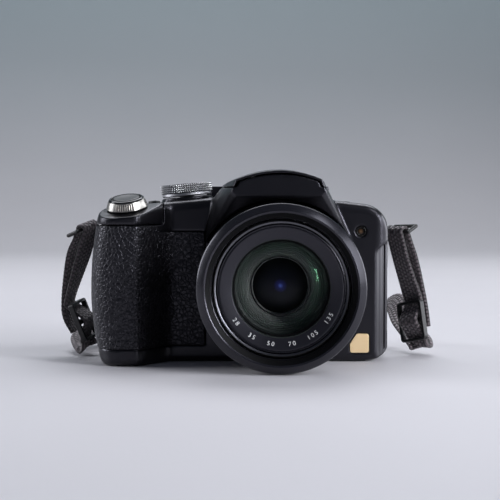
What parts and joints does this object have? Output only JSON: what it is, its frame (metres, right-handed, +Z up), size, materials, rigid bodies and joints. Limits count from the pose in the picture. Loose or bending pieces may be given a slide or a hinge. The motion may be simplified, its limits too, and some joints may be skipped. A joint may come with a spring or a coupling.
{
  "type": "bridge camera",
  "caption": "Bridge camera with a deep rubber grip, telescoping zoom lens in a wide front ring, pop-up flash hump, knurled mode dial, keyed back and a webbing neck strap",
  "frame": {"origin": "mouth of the tripod socket in the base plane, straight below the lens axis", "axes": "+X to the right seen from the front, +Y to the back (the lens points to -Y), +Z up"},
  "size_m": [0.1524, 0.1279, 0.0751],
  "materials": {
    "body_plastic": "satin",
    "grip_rubber": "leather-grained",
    "key_plastic": "satin",
    "black_gloss": "polished",
    "chrome_trim": "polished",
    "silver_metal": "knurled satin",
    "gold_plate": "satin",
    "amber_lens": "clear",
    "lens_black": "satin",
    "lens_glass": "coated",
    "inner_metal": "milled",
    "gear_plastic": "moulded",
    "silicon": "polished",
    "circuit": "lacquered",
    "flash_metal": "reflector",
    "cell_wrap": "satin",
    "card_plastic": "satin",
    "steel": "plated",
    "webbing": "woven",
    "band_fabric": "woven",
    "buckle_plastic": "satin"
  },
  "bodies": {
    "case": {"front_cover": "body_plastic", "rear_cover": "body_plastic", "top_cover": "body_plastic", "base_plate": "body_plastic", "grip_rubber": "grip_rubber", "eyecup": "grip_rubber", "lcd_window": "black_gloss", "badge_plate": "gold_plate", "af_lamp": "amber_lens", "front_ring": "lens_black", "fixed_barrel": "lens_black", "finder_lens": "lens_glass", "chassis": "inner_metal", "image_sensor": "silicon", "finder_display": "silicon", "lcd_panel": "silicon", "main_board": "circuit", "battery": "cell_wrap", "memory_card": "card_plastic", "sockets": "steel", "tripod_bush": "steel", "fasteners": "steel", "strap_rings": "steel", "straps": "webbing", "neck_band": "band_fabric", "buckles": "buckle_plastic"},
    "cam": {"cam_ring": "inner_metal"},
    "zoom_gear": {"zoom_gear": "gear_plastic"},
    "tube_1": {"outer_tube": "lens_black", "iris_unit": "lens_black"},
    "tube_2": {"inner_tube": "lens_black", "name_ring": "lens_black", "front_lens": "lens_glass", "lens_baffle": "lens_black", "second_lens": "lens_glass"},
    "focus": {"focus_group": "inner_metal"},
    "shutter_button": {"shutter_button": "black_gloss"},
    "zoom_lever": {"zoom_lever": "chrome_trim"},
    "mode_dial": {"mode_dial": "silver_metal"},
    "power_switch": {"power_switch": "key_plastic"},
    "burst_button": {"burst_button": "key_plastic"},
    "focus_button": {"focus_button": "key_plastic"},
    "flash": {"flash_lid": "body_plastic", "flash_head": "flash_metal"},
    "flash_button": {"flash_button": "key_plastic"},
    "dioptre_dial": {"dioptre_dial": "key_plastic"},
    "finder_button": {"finder_button": "key_plastic"},
    "play_switch": {"play_switch": "key_plastic"},
    "joystick_frame": {"joystick_frame": "inner_metal"},
    "joystick": {"joystick": "key_plastic"},
    "key_up": {"key_up": "key_plastic"},
    "key_down": {"key_down": "key_plastic"},
    "key_left": {"key_left": "key_plastic"},
    "key_right": {"key_right": "key_plastic"},
    "set_button": {"set_button": "key_plastic"},
    "display_button": {"display_button": "key_plastic"},
    "delete_button": {"delete_button": "key_plastic"},
    "battery_door": {"battery_door": "body_plastic"},
    "door_latch": {"door_latch": "body_plastic"},
    "terminal_door": {"terminal_door": "body_plastic"}
  },
  "joints": [
    {"name": "cam_turn", "type": "hinge", "parent": "case", "child": "cam", "pos_m": [0, 0, 0.03115], "axis": [0, -1, 0], "range_deg": [0, 90]},
    {"name": "zoom_gear_turn", "type": "hinge", "parent": "case", "child": "zoom_gear", "pos_m": [-0.02806, 0, 0.04735], "axis": [0, -1, 0], "range_deg": [-450, 0]},
    {"name": "tube_1_slide", "type": "slide", "parent": "case", "child": "tube_1", "axis": [0, -1, 0], "range_m": [0, 0.018]},
    {"name": "tube_2_slide", "type": "slide", "parent": "tube_1", "child": "tube_2", "axis": [0, -1, 0], "range_m": [0, 0.018]},
    {"name": "focus_slide", "type": "slide", "parent": "case", "child": "focus", "axis": [0, -1, 0], "range_m": [-0.003, 0.003]},
    {"name": "shutter_press", "type": "slide", "parent": "case", "child": "shutter_button", "axis": [0.0892, 0.2588, -0.9618], "range_m": [0, 0.0012], "stiffness_N_per_m": 60},
    {"name": "zoom_lever_turn", "type": "hinge", "parent": "case", "child": "zoom_lever", "pos_m": [-0.059, -0.021, 0.06], "axis": [-0.0892, -0.2588, 0.9618], "range_deg": [-20, 20], "stiffness_Nm_per_rad": 0.004},
    {"name": "mode_dial_turn", "type": "hinge", "parent": "case", "child": "mode_dial", "pos_m": [-0.0367, 0.002, 0.0633], "axis": [-0.0924, 0, 0.9957], "continuous": true},
    {"name": "power_slide", "type": "slide", "parent": "case", "child": "power_switch", "axis": [0.9957, 0, 0.0924], "range_m": [0, 0.0028]},
    {"name": "burst_button_press", "type": "slide", "parent": "case", "child": "burst_button", "axis": [0, 0, -1], "range_m": [0, 0.0006], "stiffness_N_per_m": 60},
    {"name": "focus_button_press", "type": "slide", "parent": "case", "child": "focus_button", "axis": [0, 0, -1], "range_m": [0, 0.0006], "stiffness_N_per_m": 60},
    {"name": "flash_button_press", "type": "slide", "parent": "case", "child": "flash_button", "axis": [0, 0, -1], "range_m": [0, 0.0006], "stiffness_N_per_m": 60},
    {"name": "flash_lift", "type": "hinge", "parent": "case", "child": "flash", "pos_m": [0, -0.001, 0.0728], "axis": [-1, 0, 0], "range_deg": [0, 45]},
    {"name": "dioptre_turn", "type": "hinge", "parent": "case", "child": "dioptre_dial", "pos_m": [0.0179, 0.0136, 0.0606], "axis": [0, -1, 0], "range_deg": [-60, 60]},
    {"name": "play_slide", "type": "slide", "parent": "case", "child": "play_switch", "axis": [1, 0, 0], "range_m": [0, 0.003]},
    {"name": "finder_button_press", "type": "slide", "parent": "case", "child": "finder_button", "axis": [0, -1, 0], "range_m": [0, 0.0005], "stiffness_N_per_m": 60},
    {"name": "key_up_press", "type": "slide", "parent": "case", "child": "key_up", "axis": [0, -1, 0], "range_m": [0, 0.0005], "stiffness_N_per_m": 60},
    {"name": "key_down_press", "type": "slide", "parent": "case", "child": "key_down", "axis": [0, -1, 0], "range_m": [0, 0.0005], "stiffness_N_per_m": 60},
    {"name": "key_left_press", "type": "slide", "parent": "case", "child": "key_left", "axis": [0, -1, 0], "range_m": [0, 0.0005], "stiffness_N_per_m": 60},
    {"name": "key_right_press", "type": "slide", "parent": "case", "child": "key_right", "axis": [0, -1, 0], "range_m": [0, 0.0005], "stiffness_N_per_m": 60},
    {"name": "set_button_press", "type": "slide", "parent": "case", "child": "set_button", "axis": [0, -1, 0], "range_m": [0, 0.0005], "stiffness_N_per_m": 60},
    {"name": "display_button_press", "type": "slide", "parent": "case", "child": "display_button", "axis": [0, -1, 0], "range_m": [0, 0.0005], "stiffness_N_per_m": 60},
    {"name": "delete_button_press", "type": "slide", "parent": "case", "child": "delete_button", "axis": [0, -1, 0], "range_m": [0, 0.0005], "stiffness_N_per_m": 60},
    {"name": "stick_tip", "type": "hinge", "parent": "case", "child": "joystick_frame", "pos_m": [-0.037, 0.0126, 0.042], "axis": [1, 0, 0], "range_deg": [-8, 8], "stiffness_Nm_per_rad": 0.004},
    {"name": "stick_turn", "type": "hinge", "parent": "joystick_frame", "child": "joystick", "pos_m": [-0.037, 0.0126, 0.042], "axis": [0, 0, 1], "range_deg": [-8, 8], "stiffness_Nm_per_rad": 0.004},
    {"name": "battery_door_swing", "type": "hinge", "parent": "case", "child": "battery_door", "pos_m": [-0.0456, 0, 0.001], "axis": [0, -1, 0], "range_deg": [0, 100]},
    {"name": "door_latch_slide", "type": "slide", "parent": "battery_door", "child": "door_latch", "axis": [0, 1, 0], "range_m": [0, 0.0024]},
    {"name": "terminal_door_swing", "type": "hinge", "parent": "case", "child": "terminal_door", "pos_m": [0.0426, -0.0075, 0.024], "axis": [0, 0, -1], "range_deg": [0, 100]}
  ],
  "couplings": [
    {"joint": "cam_turn", "follows": "tube_1_slide", "rad_per_m": 87.266},
    {"joint": "zoom_gear_turn", "follows": "tube_1_slide", "rad_per_m": -436.33},
    {"joint": "tube_2_slide", "follows": "tube_1_slide", "ratio": 1}
  ]
}
